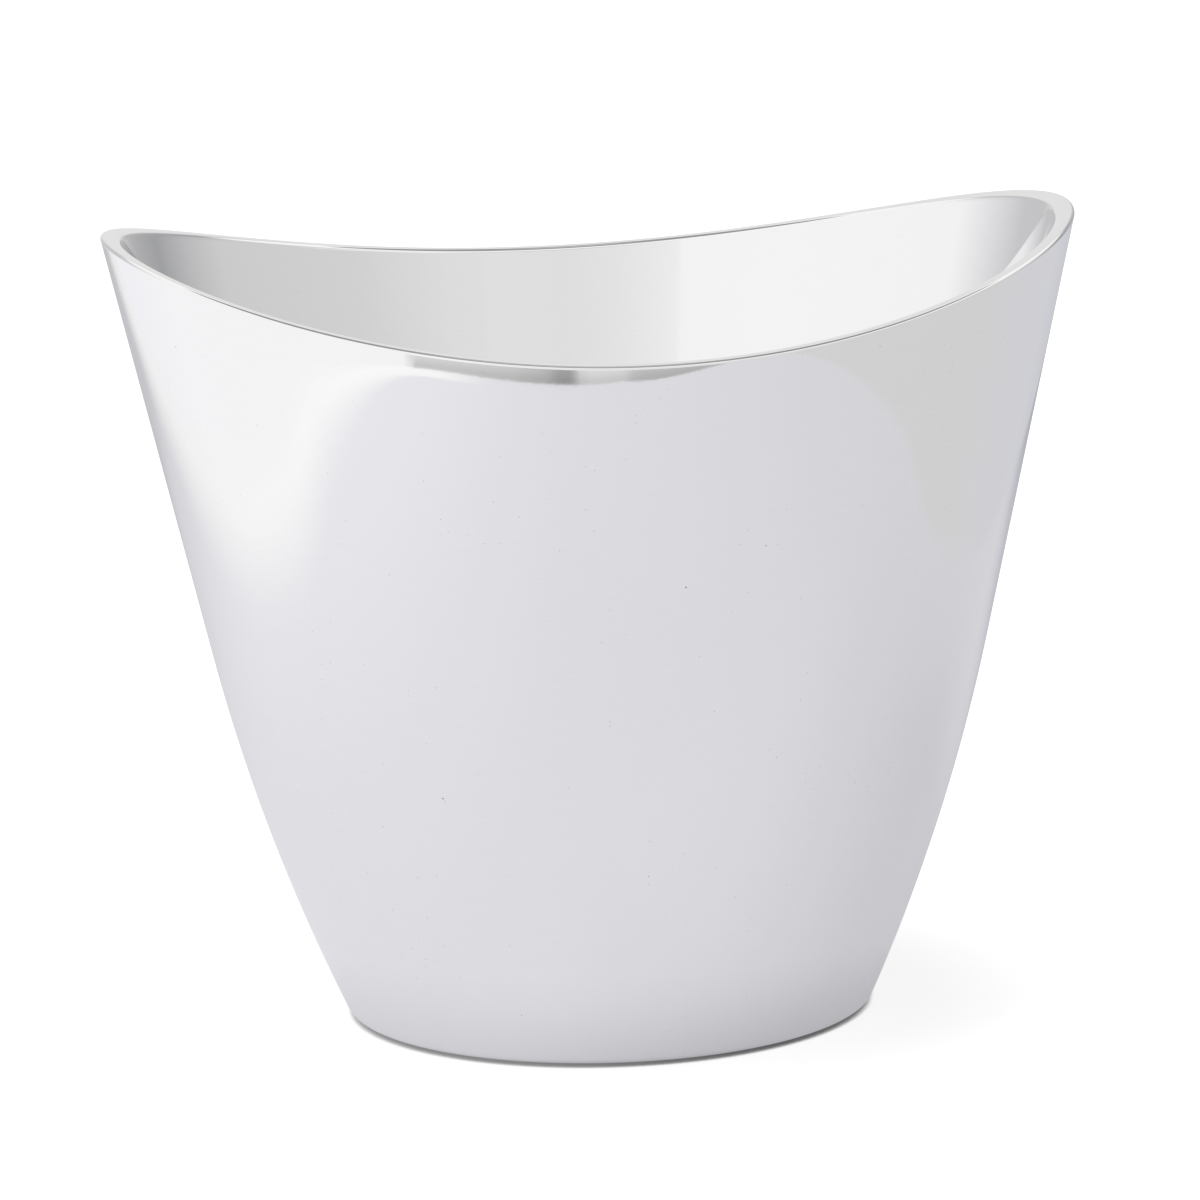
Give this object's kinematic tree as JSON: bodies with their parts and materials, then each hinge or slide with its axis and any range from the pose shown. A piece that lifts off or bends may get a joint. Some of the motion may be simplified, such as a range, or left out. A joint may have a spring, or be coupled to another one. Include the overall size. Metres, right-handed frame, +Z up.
{
  "type": "champagne bucket",
  "caption": "Double-walled champagne bucket in mirror-polished silver metal, a flared round body with a saddle-shaped rim high at both ends.",
  "frame": {"origin": "on the resting surface, on the body's upright axis", "axes": "+Z up, X along the width towards the two high ends of the rim, Y from front to back"},
  "size_m": [0.2998, 0.288, 0.2488],
  "materials": {
    "outer_shell": "mirror-polished silver-coloured steel with fine hairlines",
    "inner_liner": "mirror-polished silver-coloured steel",
    "rim_band": "mirror-polished silver-coloured steel, softly rounded inner edge",
    "base_plate": "turned satin steel",
    "foot_ring": "matt black silicone",
    "vent_plug": "matt dark silicone",
    "support_pad": "closed-cell foam"
  },
  "bodies": {
    "root": {"outer_shell": "outer_shell", "inner_liner": "inner_liner", "rim_band": "rim_band", "base_plate": "base_plate", "foot_ring": "foot_ring", "vent_plug": "vent_plug", "support_pad": "support_pad"}
  },
  "joints": []
}
